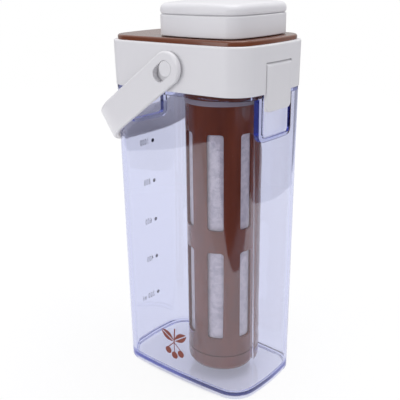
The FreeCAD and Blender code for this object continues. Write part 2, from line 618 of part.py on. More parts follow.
def bail_handle():
    """The U-shaped band, drawn level and then turned down to its rest."""
    half = BAIL_WIDTH / 2
    outer_points, outer = u_outline(BAIL_OUTER_Y, BAIL_REACH, BAIL_BEND, half)
    inner_points, inner = u_outline(BAIL_INNER_Y, BAIL_REACH - BAIL_THICKNESS,
                                    BAIL_BEND - BAIL_THICKNESS, half)
    ends = [Part.LineSegment(outer_points[i], inner_points[i]).toShape() for i in (0, -1)]
    face = Part.Face(Part.Wire(outer + ends[1:] + inner[::-1] + ends[:1]))
    band = face.extrude(UP * BAIL_WIDTH).translated(Vector(0, 0, -half))
    arms = box(-BAIL_REACH - OVER, 0, -BAIL_OUTER_Y - OVER, BAIL_OUTER_Y + OVER, -half, half)
    band = band.common(joined(eye_bar(half, 0), [arms]))
    band = band.makeFillet(BAIL_EDGE, band_edges(band))
    bore = STUD_RADIUS + STUD_RUNNING_GAP
    slot = box(-EYE_SLOT, 0, -BAIL_OUTER_Y - OVER, BAIL_OUTER_Y + OVER, -bore, bore)
    band = band.cut(joined(eye_bar(bore, 0), [slot, eye_bar(bore, -EYE_SLOT)]))
    band.rotate(Vector(0, 0, 0), Vector(0, 1, 0), -math.degrees(bail_rest_angle()))
    return band.translated(Vector(STUD_X, 0, STUD_Z))


def eye_bar(radius, x):
    """A round bar through both eyes of the handle, before it is turned to its rest."""
    return bar_y(radius, BAIL_OUTER_Y + OVER, x, 0)


def band_edges(band):
    """The long edges of the band and of its round ends, on both faces."""
    half = BAIL_WIDTH / 2
    flat = [edge for side in (-half, half) for edge in edges_near(band, side)
            if edge.Length > BAIL_THICKNESS + OVER]
    ends = [edge for edge in band.Edges if edge.BoundBox.ZLength > half
            and edge.BoundBox.YLength < FLAT]
    return flat + ends


# ---------------------------------------------------------------- latches
def latch(end):
    """A flap with a barrel at its top, flush with the collar, and a hook ridge behind."""
    back = LATCH_FACE - LATCH_THICKNESS
    leaf = box(end * back, end * LATCH_FACE, -LATCH_HALF_WIDTH, LATCH_HALF_WIDTH, LATCH_TIP, LATCH_PIN_Z)
    lower = [edge for edge in edges_near(leaf, LATCH_TIP) if edge.BoundBox.YLength < FLAT]
    leaf = leaf.makeFillet(LATCH_TIP_CORNER, lower)
    barrel = bar_y(LATCH_BARREL, LATCH_HALF_WIDTH, end * LATCH_PIN_X, LATCH_PIN_Z)
    tip = POCKET_BACK + CATCH_RADIUS + LATCH_HOOK_GAP
    hook = bar_y(LATCH_HOOK_RADIUS, CATCH_HALF_WIDTH, end * (tip + LATCH_HOOK_RADIUS),
                 LATCH_TIP + LATCH_TIP_CORNER)
    flap = joined(leaf, [barrel, hook])
    bore = bar_y(LATCH_PIN_RADIUS + LATCH_PIN_GAP, LATCH_HALF_WIDTH + OVER, end * LATCH_PIN_X, LATCH_PIN_Z)
    return flap.cut(bore)


def latch_pin(end):
    """The steel pin that a latch swings on."""
    return bar_y(LATCH_PIN_RADIUS, LATCH_HALF_WIDTH + LATCH_PIN_REACH, end * LATCH_PIN_X, LATCH_PIN_Z)


# ---------------------------------------------------------------- filter
def window_tool(angle, low):
    """The block that one mesh window removes from the cage, with rounded corners."""
    half_arc = math.radians(WINDOW_ARC / 2)
    half = FILTER_RADIUS * math.sin(half_arc)
    block = box(CAGE_INNER * math.cos(half_arc) - OVER, FILTER_RADIUS + OVER, -half, half,
                low, low + WINDOW_HEIGHT)
    rounded = [edge for edge in block.Edges if edge.BoundBox.XLength > OVER]
    block = block.makeFillet(WINDOW_CORNER, rounded)
    block.rotate(Vector(0, 0, 0), UP, angle)
    return block.translated(Vector(MOUTH_X, 0, 0))


def filter_cage():
    """The brown tube with its windows and the lock ledges at both ends."""
    tube = ring(FILTER_RADIUS, CAGE_INNER, CAGE_BOTTOM, CAGE_TOP, MOUTH_X)
    for column in range(WINDOW_COLUMNS):
        for low in (LOWER_WINDOW, UPPER_WINDOW):
            tube = tube.cut(window_tool(WINDOW_START + 360 / WINDOW_COLUMNS * column, low))
    ledge_inner = CAGE_INNER - LOCK_LUG_DEPTH
    ledge_low = SPIGOT_BOTTOM + LOCK_LUG_HEIGHT + LOCK_GAP
    ledges = lock_lugs(ledge_inner, CAGE_INNER + CAGE_WALL / 2, ledge_low,
                       ledge_low + LOCK_LUG_HEIGHT, 0.0)
    ledges += lock_lugs(ledge_inner, CAGE_INNER + CAGE_WALL / 2, CAGE_BOTTOM + LOCK_GAP,
                        CAGE_BOTTOM + LOCK_GAP + LOCK_LUG_HEIGHT, 0.0)
    return joined(tube, ledges)


def filter_mesh():
    """The fine mesh sleeve behind the windows, a thin tube."""
    return ring(CAGE_INNER, CAGE_INNER - MESH_THICKNESS, LOWER_WINDOW - MESH_OVERLAP,
                UPPER_WINDOW + WINDOW_HEIGHT + MESH_OVERLAP, MOUTH_X)


def filter_gasket():
    """The grey ring between the cage and the neck."""
    return ring(FILTER_RADIUS + FILTER_GASKET_PROUD, SPIGOT_RADIUS + LOCK_GAP / 2, CAGE_TOP,
                CAGE_TOP + FILTER_GASKET_THICKNESS, MOUTH_X)


def filter_base():
    """The cup that closes the filter, locked by lugs inside the cage."""
    outer = disc(FILTER_RADIUS, BASE_BOTTOM, BASE_TOP, MOUTH_X)
    outer = outer.makeFillet(BASE_EDGE, edges_near(outer, BASE_BOTTOM))
    upstand = disc(SPIGOT_RADIUS, BASE_TOP - OVER, CAGE_BOTTOM + BASE_UPSTAND, MOUTH_X)
    body = joined(outer, [upstand])
    hollow = disc(SPIGOT_RADIUS - BASE_WALL, BASE_BOTTOM + BASE_WALL,
                  CAGE_BOTTOM + BASE_UPSTAND + OVER, MOUTH_X)
    hollow = hollow.makeFillet(BASE_EDGE - BASE_WALL, edges_near(hollow, BASE_BOTTOM + BASE_WALL))
    lug_low = CAGE_BOTTOM + LOCK_GAP + LOCK_LUG_HEIGHT + LOCK_GAP
    lugs = lock_lugs(SPIGOT_RADIUS - BASE_WALL / 2, LUG_TIP, lug_low, lug_low + LOCK_LUG_HEIGHT, 0.0)
    return joined(body.cut(hollow), lugs)


def base_seal():
    """The thin ring between the base and the cage."""
    return ring(FILTER_RADIUS - BASE_SEAL_INSET, SPIGOT_RADIUS, BASE_TOP, CAGE_BOTTOM, MOUTH_X)


NODES = {
    "jug_body": jug_body,
    "collar": collar,
    "top_plate": top_plate,
    "plate_screws": plate_screws,
    "lid_liner": lid_liner,
    "liner_screws": liner_screws,
    "liner_seal": liner_seal,
    "rim_gasket": rim_gasket,
    "pour_neck": pour_neck,
    "neck_gasket": neck_gasket,
    "cap_skirt": cap_skirt,
    "cap_cover": cap_cover,
    "cap_gasket": cap_gasket,
    "bail_handle": bail_handle,
    "latch_left": lambda: latch(-1),
    "latch_right": lambda: latch(1),
    "latch_pin_left": lambda: latch_pin(-1),
    "latch_pin_right": lambda: latch_pin(1),
    "filter_cage": filter_cage,
    "filter_mesh": filter_mesh,
    "filter_gasket": filter_gasket,
    "filter_base": filter_base,
    "base_seal": base_seal,
}


def main():
    """Build every node and write its STEP file."""
    os.makedirs("parts", exist_ok=True)
    for name, build in NODES.items():
        shape = build()
        shape.exportStep(f"parts/{name}.step")
        span = shape.BoundBox
        print(f"{name:18s} solids {len(shape.Solids)} valid {shape.isValid()} volume {shape.Volume:9.1f} "
              f"z {span.ZMin:7.2f} to {span.ZMax:7.2f}")


main()
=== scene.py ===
"""Looks of a cold brew coffee maker: a clear jug, a latched lid, a swing handle and a filter.

Each sub-assembly is a class that dresses its own construction pieces. The jug also gets its
printed volume scale and a printed sprig. Lengths are metres; MM turns a millimetre into metres.
"""

import json
import logging
import math
from dataclasses import dataclass
from enum import Enum

import bmesh
import bpy
from mathutils import Matrix, Quaternion, Vector

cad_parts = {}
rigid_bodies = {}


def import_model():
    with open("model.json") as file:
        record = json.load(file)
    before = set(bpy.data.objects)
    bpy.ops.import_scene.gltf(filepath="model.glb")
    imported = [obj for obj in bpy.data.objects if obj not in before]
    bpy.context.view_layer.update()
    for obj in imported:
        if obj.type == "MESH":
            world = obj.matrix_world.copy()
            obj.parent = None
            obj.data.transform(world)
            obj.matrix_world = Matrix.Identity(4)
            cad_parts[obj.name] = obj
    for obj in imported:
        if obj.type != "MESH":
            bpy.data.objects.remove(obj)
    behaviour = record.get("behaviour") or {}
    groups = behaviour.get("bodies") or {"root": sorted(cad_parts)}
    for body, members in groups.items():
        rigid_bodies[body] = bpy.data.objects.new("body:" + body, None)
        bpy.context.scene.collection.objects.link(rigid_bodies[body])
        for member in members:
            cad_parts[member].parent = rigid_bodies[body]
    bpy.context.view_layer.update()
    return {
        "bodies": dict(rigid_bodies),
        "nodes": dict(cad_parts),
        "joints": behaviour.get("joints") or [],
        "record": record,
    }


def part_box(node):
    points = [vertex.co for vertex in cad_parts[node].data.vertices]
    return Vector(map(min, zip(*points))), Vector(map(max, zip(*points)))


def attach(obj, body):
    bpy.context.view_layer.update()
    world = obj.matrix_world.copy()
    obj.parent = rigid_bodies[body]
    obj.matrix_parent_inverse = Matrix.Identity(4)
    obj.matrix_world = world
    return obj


LOG = logging.getLogger("coffee_maker")
MM = 0.001
Colour = tuple[float, float, float, float]
Span = tuple[float, float]
Point = tuple[float, float, float]
WHITE: Colour = (1.0, 1.0, 1.0, 1.0)
BLACK: Colour = (0.0, 0.0, 0.0, 1.0)


# ------------------------------------------------------------------ names in the frame
class Body(Enum):
    """The rigid body that the prints ride on."""

    JUG = "jug"


class Slot(Enum):
    """The record's clear material slot, which nothing here uses."""

    CLEAR = "clear_copolyester"


# ------------------------------------------------------------------ shader helpers
def linear(hex_code: str) -> Colour:
    """Turn an sRGB hex colour into the linear colour that shaders take.

    Args:
        hex_code: Six hex digits with a leading hash.

    Returns:
        Linear red, green and blue, and a full alpha.
    """
    shares = [int(hex_code[i:i + 2], 16) / 255 for i in (1, 3, 5)]
    curve = [s / 12.92 if s <= 0.04045 else ((s + 0.055) / 1.055) ** 2.4 for s in shares]
    return (curve[0], curve[1], curve[2], 1.0)


def add_node(tree: bpy.types.NodeTree, kind: str, inputs: dict | None = None,
             **settings) -> bpy.types.Node:
    """Add one shader node with its settings, values and links.

    Args:
        tree: The node tree that takes the node.
        kind: The node's type name.
        inputs: Socket name or number to a value, or to the output socket to link from.
        **settings: Properties of the node itself.

    Returns:
        The new node.
    """
    node = tree.nodes.new(kind)
    for name, value in settings.items():
        setattr(node, name, value)
    for socket, value in (inputs or {}).items():
        if isinstance(value, bpy.types.NodeSocket):
            tree.links.new(value, node.inputs[socket])
        else:
            node.inputs[socket].default_value = value
    return node


def new_material(name: str) -> tuple[bpy.types.Material, bpy.types.NodeTree, bpy.types.Node]:
    """Start an empty node material.

    Args:
        name: The material's name.

    Returns:
        The material, its tree and its output node.
    """
    material = bpy.data.materials.new(name)
    material.use_nodes = True
    tree = material.node_tree
    tree.nodes.clear()
    return material, tree, add_node(tree, "ShaderNodeOutputMaterial")


def object_coordinates(tree: bpy.types.NodeTree) -> bpy.types.NodeSocket:
    """Return the socket that gives a point's place in the object, in metres."""
    return add_node(tree, "ShaderNodeTexCoord").outputs["Object"]


# ------------------------------------------------------------------ finishes
@dataclass(frozen=True)
class MouldedPlastic:
    """Injection-moulded plastic: even colour, a fine moulded grain and softly rounded edges."""

    name: str
    colour: str
    shade: str
    roughness: float
    grain_mm: float
    grain_depth_mm: float
    cloud_mm: float = 26.0
    stretch: float = 1.0
    edge_mm: float = 0.35
    coat: float = 0.0
    coat_roughness: float = 0.06
    unevenness: float = 0.15
    ior: float = 1.53

    def build(self) -> bpy.types.Material:
        """Return the material.

        Returns:
            A dielectric plastic whose colour drifts a little over its cloud size.
        """
        material, tree, output = new_material(self.name)
        place = object_coordinates(tree)
        flow = add_node(tree, "ShaderNodeMapping", {
            "Vector": place, "Scale": (1, 1, 1 / self.stretch)})
        cloud = add_node(tree, "ShaderNodeTexNoise", {
            "Vector": flow.outputs["Vector"], "Scale": 1 / (self.cloud_mm * MM), "Detail": 3.0,
            "Roughness": 0.55})
        tint = add_node(tree, "ShaderNodeMix", {
            "Factor": cloud.outputs["Fac"], "A": linear(self.colour), "B": linear(self.shade)},
            data_type="RGBA")
        grain = add_node(tree, "ShaderNodeTexNoise", {
            "Vector": place, "Scale": 1 / (self.grain_mm * MM), "Detail": 2.0})
        edge = add_node(tree, "ShaderNodeBevel", {"Radius": self.edge_mm * MM}, samples=4)
        bump = add_node(tree, "ShaderNodeBump", {
            "Height": grain.outputs["Fac"], "Strength": 0.6,
            "Distance": self.grain_depth_mm * MM, "Normal": edge.outputs["Normal"]})
        rough = add_node(tree, "ShaderNodeMapRange", {
            "Value": cloud.outputs["Fac"], "To Min": self.roughness * (1 - self.unevenness),
            "To Max": self.roughness * (1 + self.unevenness)})
        shader = add_node(tree, "ShaderNodeBsdfPrincipled", {
            "Base Color": tint.outputs["Result"], "Roughness": rough.outputs["Result"],
            "IOR": self.ior, "Normal": bump.outputs["Normal"], "Coat Weight": self.coat,
            "Coat Roughness": self.coat_roughness})
        tree.links.new(shader.outputs["BSDF"], output.inputs["Surface"])
        return material


@dataclass(frozen=True)
class ClearResin:
    """Clear styrene resin, moulded and polished: faint violet where light goes far in it."""

    name: str
    absorbed: str
    density: float
    roughness: float = 0.01
    ior: float = 1.59
    ripple_mm: float = 34.0
    ripple_depth_mm: float = 0.02
    most_reflections: float = 3.5

    def build(self) -> bpy.types.Material:
        """Return the material.

        Light on its way to other pieces passes straight through. So does a ray that has been
        reflected inside more than most_reflections times, which would otherwise end black.

        Returns:
            A refracting solid with absorption.
        """
        material, tree, output = new_material(self.name)
        place = object_coordinates(tree)
        ripple = add_node(tree, "ShaderNodeTexNoise", {
            "Vector": place, "Scale": 1 / (self.ripple_mm * MM), "Detail": 1.0})
        bump = add_node(tree, "ShaderNodeBump", {
            "Height": ripple.outputs["Fac"], "Strength": 0.5,
            "Distance": self.ripple_depth_mm * MM})
        solid = add_node(tree, "ShaderNodeBsdfPrincipled", {
            "Base Color": WHITE, "Roughness": self.roughness, "IOR": self.ior,
            "Transmission Weight": 1.0, "Normal": bump.outputs["Normal"]})
        lit = add_node(tree, "ShaderNodeBsdfTransparent", {"Color": WHITE})
        path = add_node(tree, "ShaderNodeLightPath")
        lighting = add_node(tree, "ShaderNodeMath", {
            0: path.outputs["Is Shadow Ray"], 1: path.outputs["Is Diffuse Ray"]},
            operation="MAXIMUM")
        trapped = add_node(tree, "ShaderNodeMath", {
            0: path.outputs["Glossy Depth"], 1: self.most_reflections},
            operation="GREATER_THAN")
        through = add_node(tree, "ShaderNodeMath", {
            0: lighting.outputs[0], 1: trapped.outputs[0]}, operation="MAXIMUM")
        mixed = add_node(tree, "ShaderNodeMixShader", {
            0: through.outputs[0], 1: solid.outputs["BSDF"], 2: lit.outputs["BSDF"]})
        tree.links.new(mixed.outputs["Shader"], output.inputs["Surface"])
        inside = add_node(tree, "ShaderNodeVolumeAbsorption", {
            "Color": linear(self.absorbed), "Density": self.density})
        unlit = add_node(tree, "ShaderNodeMixShader", {
            0: lighting.outputs[0], 1: inside.outputs["Volume"]})
        tree.links.new(unlit.outputs["Shader"], output.inputs["Volume"])
        return material


@dataclass(frozen=True)
class WovenNylon:
    """Plain-woven nylon cloth, drawn with threads coarse enough to show."""

    name: str
    thread: str
    gap: str
    pitch_mm: float
    radius_mm: float
    axis_mm: Span
    weave_share: float = 0.4
    thread_depth_mm: float = 0.06
    crease_mm: float = 5.0
    crease_span: Span = (0.4, 0.64)
    crease_share: float = 0.5
    roughness: float = 0.55
    ior: float = 1.53
    sheen: float = 0.2

    def build(self) -> bpy.types.Material:
        """Return the material.

        Returns:
            A cloth whose two thread sets cross round and along the sleeve, with painted crease
            shade in soft patches.
        """
        material, tree, output = new_material(self.name)
        place = add_node(tree, "ShaderNodeMapping", {
            "Vector": object_coordinates(tree),
            "Location": (-self.axis_mm[0] * MM, -self.axis_mm[1] * MM, 0.0)})
        parts = add_node(tree, "ShaderNodeSeparateXYZ", {0: place.outputs["Vector"]})
        around = add_node(tree, "ShaderNodeMath", {
            0: parts.outputs["Y"], 1: parts.outputs["X"]}, operation="ARCTAN2")
        turns = round(math.tau * self.radius_mm / self.pitch_mm)
        warp = add_node(tree, "ShaderNodeMath", {0: around.outputs[0], 1: float(turns)},
                        operation="MULTIPLY")
        weft = add_node(tree, "ShaderNodeMath", {
            0: parts.outputs["Z"], 1: math.tau / (self.pitch_mm * MM)}, operation="MULTIPLY")
        waves = [add_node(tree, "ShaderNodeMath", {0: wave.outputs[0]}, operation="SINE")
                 for wave in (warp, weft)]
        weave = add_node(tree, "ShaderNodeMath", {
            0: waves[0].outputs[0], 1: waves[1].outputs[0]}, operation="MULTIPLY")
        share = add_node(tree, "ShaderNodeMapRange", {
            "Value": weave.outputs[0], "From Min": -1.0, "From Max": 1.0})
        # Painted shade: noise patches stand for shaded creases and pull the cloth's colour
        # towards the darker one.
        crease_shade_noise = add_node(tree, "ShaderNodeTexNoise", {
            "Vector": place.outputs["Vector"], "Scale": 1 / (self.crease_mm * MM), "Detail": 4.0,
            "Roughness": 0.6, "Distortion": 0.8})
        painted_crease_shade = add_node(tree, "ShaderNodeMapRange", {
            "Value": crease_shade_noise.outputs["Fac"], "From Min": self.crease_span[0],
            "From Max": self.crease_span[1], "To Max": self.crease_share})
        weave_and_crease_shade = add_node(tree, "ShaderNodeMath", {
            0: share.outputs["Result"], 1: self.weave_share, 2: painted_crease_shade.outputs["Result"]},
            operation="MULTIPLY_ADD")
        tint = add_node(tree, "ShaderNodeMix", {
            "Factor": weave_and_crease_shade.outputs[0], "A": linear(self.thread), "B": linear(self.gap)},
            data_type="RGBA")
        bump = add_node(tree, "ShaderNodeBump", {
            "Height": weave.outputs[0], "Strength": 0.5, "Distance": self.thread_depth_mm * MM})
        shader = add_node(tree, "ShaderNodeBsdfPrincipled", {
            "Base Color": tint.outputs["Result"], "Roughness": self.roughness, "IOR": self.ior,
            "Sheen Weight": self.sheen, "Normal": bump.outputs["Normal"]})
        tree.links.new(shader.outputs["BSDF"], output.inputs["Surface"])
        return material


@dataclass(frozen=True)
class MouldedRubber:
    """Moulded silicone rubber: matt, faintly dusty, with a very fine grain."""

    name: str
    colour: str
    dust: str
    speck_mm: float = 1.5
    speck_depth_mm: float = 0.03
    roughness: float = 0.42
    ior: float = 1.41

    def build(self) -> bpy.types.Material:
        """Return the material.

        Returns:
            A matt rubber whose dust shows as a faint mottle.
        """
        material, tree, output = new_material(self.name)
        place = object_coordinates(tree)
        specks = add_node(tree, "ShaderNodeTexNoise", {
            "Vector": place, "Scale": 1 / (self.speck_mm * MM), "Detail": 5.0, "Roughness": 0.7})
        tint = add_node(tree, "ShaderNodeMix", {
            "Factor": specks.outputs["Fac"], "A": linear(self.colour), "B": linear(self.dust)},
            data_type="RGBA")
        bump = add_node(tree, "ShaderNodeBump", {
            "Height": specks.outputs["Fac"], "Strength": 0.3,
            "Distance": self.speck_depth_mm * MM})
        shader = add_node(tree, "ShaderNodeBsdfPrincipled", {
            "Base Color": tint.outputs["Result"], "Roughness": self.roughness, "IOR": self.ior,
            "Normal": bump.outputs["Normal"]})
        tree.links.new(shader.outputs["BSDF"], output.inputs["Surface"])
        return material


@dataclass(frozen=True)
class TurnedSteel:
    """Stainless steel wire and screws: bright, with fine drawn lines round the shank."""

    name: str
    colour: str
    line_mm: float = 2.5
    line_depth_mm: float = 0.02
    roughness: Span = (0.2, 0.36)

    def build(self) -> bpy.types.Material:
        """Return the material.

        Returns:
            A metal whose highlights are broken up by fine rings.
        """
        material, tree, output = new_material(self.name)
        place = object_coordinates(tree)
        lines = add_node(tree, "ShaderNodeTexWave", {
            "Vector": place, "Scale": 1 / (self.line_mm * MM), "Distortion": 1.5, "Detail": 2.0},
            bands_direction="Z")
        rough = add_node(tree, "ShaderNodeMapRange", {
            "Value": lines.outputs["Fac"], "To Min": self.roughness[0],
            "To Max": self.roughness[1]})
        bump = add_node(tree, "ShaderNodeBump", {
            "Height": lines.outputs["Fac"], "Strength": 0.2, "Distance": self.line_depth_mm * MM})
        shader = add_node(tree, "ShaderNodeBsdfPrincipled", {
            "Base Color": linear(self.colour), "Metallic": 1.0,
            "Roughness": rough.outputs["Result"], "Normal": bump.outputs["Normal"]})
        tree.links.new(shader.outputs["BSDF"], output.inputs["Surface"])
        return material


@dataclass(frozen=True)
class ScreenInk:
    """Screen-printed ink: a thin matt film with slightly uneven cover."""

    name: str
    colour: str
    thin: str
    cover_mm: float = 0.8
    roughness: float = 0.5
    ior: float = 1.5

    def build(self) -> bpy.types.Material:
        """Return the material.

        Returns:
            An opaque matt colour that is a little paler where the film is thin.
        """
        material, tree, output = new_material(self.name)
        cover = add_node(tree, "ShaderNodeTexNoise", {
            "Vector": object_coordinates(tree), "Scale": 1 / (self.cover_mm * MM), "Detail": 4.0})
        tint = add_node(tree, "ShaderNodeMix", {
            "Factor": cover.outputs["Fac"], "A": linear(self.colour), "B": linear(self.thin)},
            data_type="RGBA")
        shader = add_node(tree, "ShaderNodeBsdfPrincipled", {
            "Base Color": tint.outputs["Result"], "Roughness": self.roughness, "IOR": self.ior})
        tree.links.new(shader.outputs["BSDF"], output.inputs["Surface"])
        return material


@dataclass(frozen=True)
class Finishes:
    """Every material of the object, built once."""

    clear: bpy.types.Material
    white: bpy.types.Material
    board: bpy.types.Material
    smoked: bpy.types.Material
    cloth: bpy.types.Material
    rubber: bpy.types.Material
    dark_rubber: bpy.types.Material
    steel: bpy.types.Material
    scale_ink: bpy.types.Material
    sprig_ink: bpy.types.Material

    @classmethod
    def build(cls, mouth_mm: Span) -> "Finishes":
        """Build all finishes.

        Args:
            mouth_mm: X and Y of the mouth's axis, which the filter cloth is woven round.

        Returns:
            The set of materials.
        """
        return cls(
            clear=ClearResin("clear_styrene_resin", absorbed="#7A8CE0", density=92.0).build(),
            white=MouldedPlastic("white_moulded_abs", "#E8E7E9", "#E3E2E5", roughness=0.34,
                                 grain_mm=0.7, grain_depth_mm=0.02).build(),
            board=MouldedPlastic("brown_polished_abs", "#7A4630", "#6C3B28", roughness=0.2,
                                 grain_mm=0.9, grain_depth_mm=0.01, coat=0.4).build(),
            smoked=MouldedPlastic("brown_moulded_copolyester", "#7F422D", "#502619",
                                  roughness=0.16, grain_mm=1.2, grain_depth_mm=0.002,
                                  cloud_mm=7.0, stretch=9.0, coat=0.3).build(),
            cloth=WovenNylon("woven_nylon_cloth", "#DCD4DA", "#A39EAA", pitch_mm=0.55,
                             radius_mm=21.7, axis_mm=mouth_mm).build(),
            rubber=MouldedRubber("grey_silicone_rubber", "#8C828A", "#968C94").build(),
            dark_rubber=MouldedRubber("brown_silicone_rubber", "#50302A", "#5A3831").build(),
            steel=TurnedSteel("stainless_steel_wire", "#C8C7C4").build(),
            scale_ink=ScreenInk("dark_scale_ink", "#24242C", "#30303A").build(),
            sprig_ink=ScreenInk("brown_print_ink", "#7A3326", "#843B2D").build())


# ------------------------------------------------------------------ mesh helpers
def new_piece(name: str, shape: bmesh.types.BMesh, material: bpy.types.Material,
              body: Body) -> None:
    """Turn a finished bmesh into a flat-shaded piece that rides on a body.

    Args:
        name: The piece's name.
        shape: Its mesh, in place; it is freed here.
        material: Its finish.
        body: The body that carries it.
    """
    mesh = bpy.data.meshes.new(name)
    for face in shape.faces:
        face.smooth = False
    shape.to_mesh(mesh)
    shape.free()
    mesh.materials.append(material)
    piece = bpy.data.objects.new(name, mesh)
    bpy.context.scene.collection.objects.link(piece)
    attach(piece, body.value)
    LOG.info("%s: %d faces on %s", name, len(mesh.polygons), body.value)


def dress(frame: dict, names: tuple[str, ...], material: bpy.types.Material) -> None:
    """Give construction nodes their finish.

    Args:
        frame: The loaded frame.
        names: The nodes that take the finish.
        material: The finish.
    """
    for name in names:
        mesh = frame["nodes"][name].data
        mesh.materials.clear()
        mesh.materials.append(material)
        LOG.info("%s: %s", name, material.name)


def add_part(shape: bmesh.types.BMesh, part: bmesh.types.BMesh, place: Matrix) -> None:
    """Put a finished part into a larger shape.

    Args:
        shape: The larger shape.
        part: The part, which is freed here.
        place: Where the part goes.
    """
    bmesh.ops.transform(part, verts=part.verts, matrix=place)
    mesh = bpy.data.meshes.new("part")
    part.to_mesh(mesh)
    part.free()
    shape.from_mesh(mesh)
    bpy.data.meshes.remove(mesh)


def lay_on(shape: bmesh.types.BMesh, wall: bpy.types.Object, inward: Vector, film: float) -> None:
    """Press a flat print onto a wall and give it the thickness of its ink.

    Args:
        shape: The print, in front of the wall.
        wall: The object that carries it.
        inward: The direction from the print to the wall.
        film: How far the print stands off the wall, and how thick it is.
    """
    for vertex in shape.verts:
        hit, place, _normal, _index = wall.ray_cast(vertex.co, inward)
        if hit:
            vertex.co = place - inward * film
    made = bmesh.ops.extrude_face_region(shape, geom=shape.faces[:])["geom"]
    raised = [v for v in made if isinstance(v, bmesh.types.BMVert)]
    bmesh.ops.translate(shape, verts=raised, vec=-inward * film)
    bmesh.ops.recalc_face_normals(shape, faces=shape.faces)


# ------------------------------------------------------------------ prints
@dataclass(frozen=True)
class Lettering:
    """Flat digits and letters, slim and evenly spaced."""

    digit_height: float = 4.3 * MM
    digit_share: float = 0.72
    slimness: float = 0.64
    weight: float = 0.008
    spacing: float = 1.25
    curve_steps: int = 4
    longest_edge: float = 1.0 * MM

    def draw(self, words: str) -> bmesh.types.BMesh:
        """Draw words in the XY plane, their left end at the origin and centred in height.

        Args:
            words: The lettering.

        Returns:
            Its mesh, with edges short enough to follow a curved wall.
        """
        curve = bpy.data.curves.new("lettering", "FONT")
        curve.body = words
        curve.size = self.digit_height / self.digit_share
        curve.align_y = "CENTER"
        curve.offset = self.weight * self.digit_height
        curve.space_character = self.spacing
        curve.resolution_u = self.curve_steps
        holder = bpy.data.objects.new("lettering", curve)
        bpy.context.scene.collection.objects.link(holder)
        made = holder.evaluated_get(bpy.context.evaluated_depsgraph_get())
        mesh = bpy.data.meshes.new_from_object(made)
        shape = bmesh.new()
        shape.from_mesh(mesh)
        bpy.data.objects.remove(holder)
        bpy.data.curves.remove(curve)
        bpy.data.meshes.remove(mesh)
        bmesh.ops.triangulate(shape, faces=shape.faces)
        long_edges = [e for e in shape.edges if e.calc_length() > self.longest_edge]
        bmesh.ops.subdivide_edges(shape, edges=long_edges, cuts=2)
        bmesh.ops.scale(shape, verts=shape.verts, vec=(self.slimness, 1, 1))
        return shape


@dataclass(frozen=True)
class Sprig:
    """A stem with two leaves and three round cherries, drawn in units of its scale.

    Each leaf has the place of its middle and its turn in degrees.
    """

    scale: float = 1.15 * MM
    leaves: tuple[Point, ...] = ((-5.0, 4.4, 152.0), (5.0, 5.4, 34.0))
    leaf_half_length: float = 5.6
    leaf_half_width: float = 2.7
    leaf_steps: int = 48
    midrib_half_width: float = 0.3
    cherries: tuple[Span, ...] = ((-4.6, -5.6), (0.2, -7.6), (5.0, -5.2))
    cherry_radius: float = 2.3
    cherry_steps: int = 32
    stalk_rise: float = 2.1
    stalk_top: float = 1.0
    stalk_width: float = 0.6
    stem: tuple[Span, Span] = ((0.0, 0.4), (0.8, 10.4))
    stem_width: float = 0.9

    def draw(self) -> bmesh.types.BMesh:
        """Draw the sprig in the XY plane.

        Returns:
            Its mesh, round the origin.
        """
        shape = bmesh.new()
        scale = self.scale
        for x, y, turn in self.leaves:
            self.leaf(shape, (x * scale, y * scale), math.radians(turn))
        for x, y in self.cherries:
            bmesh.ops.create_circle(shape, cap_ends=True, segments=self.cherry_steps,
                                    radius=self.cherry_radius * scale,
                                    matrix=Matrix.Translation((x * scale, y * scale, 0)))
            self.stroke(shape, (x * scale, (y + self.stalk_rise) * scale),
                        (0.0, self.stalk_top * scale), self.stalk_width * scale)
        foot, top = [(x * scale, y * scale) for x, y in self.stem]
        self.stroke(shape, foot, top, self.stem_width * scale)
        return shape

    def leaf(self, shape: bmesh.types.BMesh, middle: Span, turn: float) -> None:
        """Add one pointed leaf, split along its midrib.

        Args:
            shape: The print.
            middle: The leaf's middle in the print's plane.
            turn: Its direction, anticlockwise from the print's X.
        """
        place = Matrix.Translation((*middle, 0)) @ Matrix.Rotation(turn, 4, "Z")
        for half_turn in (0.0, math.pi):
            half = bmesh.new()
            bmesh.ops.create_circle(half, cap_ends=True, segments=self.leaf_steps, radius=1.0)
            for vertex in half.verts:
                vertex.co.x *= self.leaf_half_length * self.scale
                vertex.co.y *= abs(vertex.co.y) * self.leaf_half_width * self.scale
            bmesh.ops.bisect_plane(half, geom=half.verts[:] + half.edges[:] + half.faces[:],
                                   plane_co=(0, self.midrib_half_width * self.scale, 0),
                                   plane_no=(0, -1, 0), clear_outer=True)
            add_part(shape, half, place @ Matrix.Rotation(half_turn, 4, "Z"))

    @staticmethod
    def stroke(shape: bmesh.types.BMesh, start: Span, end: Span, width: float) -> None:
        """Add one straight stroke of the stem.

        Args:
            shape: The print.
            start: Where it starts.
            end: Where it ends.
            width: Its width.
        """
        run = Vector(end) - Vector(start)
        place = Matrix.Translation(((start[0] + end[0]) / 2, (start[1] + end[1]) / 2, 0))
        turn = Matrix.Rotation(math.atan2(run.y, run.x), 4, "Z")
        size = Matrix.Diagonal((run.length, width, 1, 1))
        bmesh.ops.create_grid(shape, x_segments=6, y_segments=1, size=0.5,
                              matrix=place @ turn @ size)


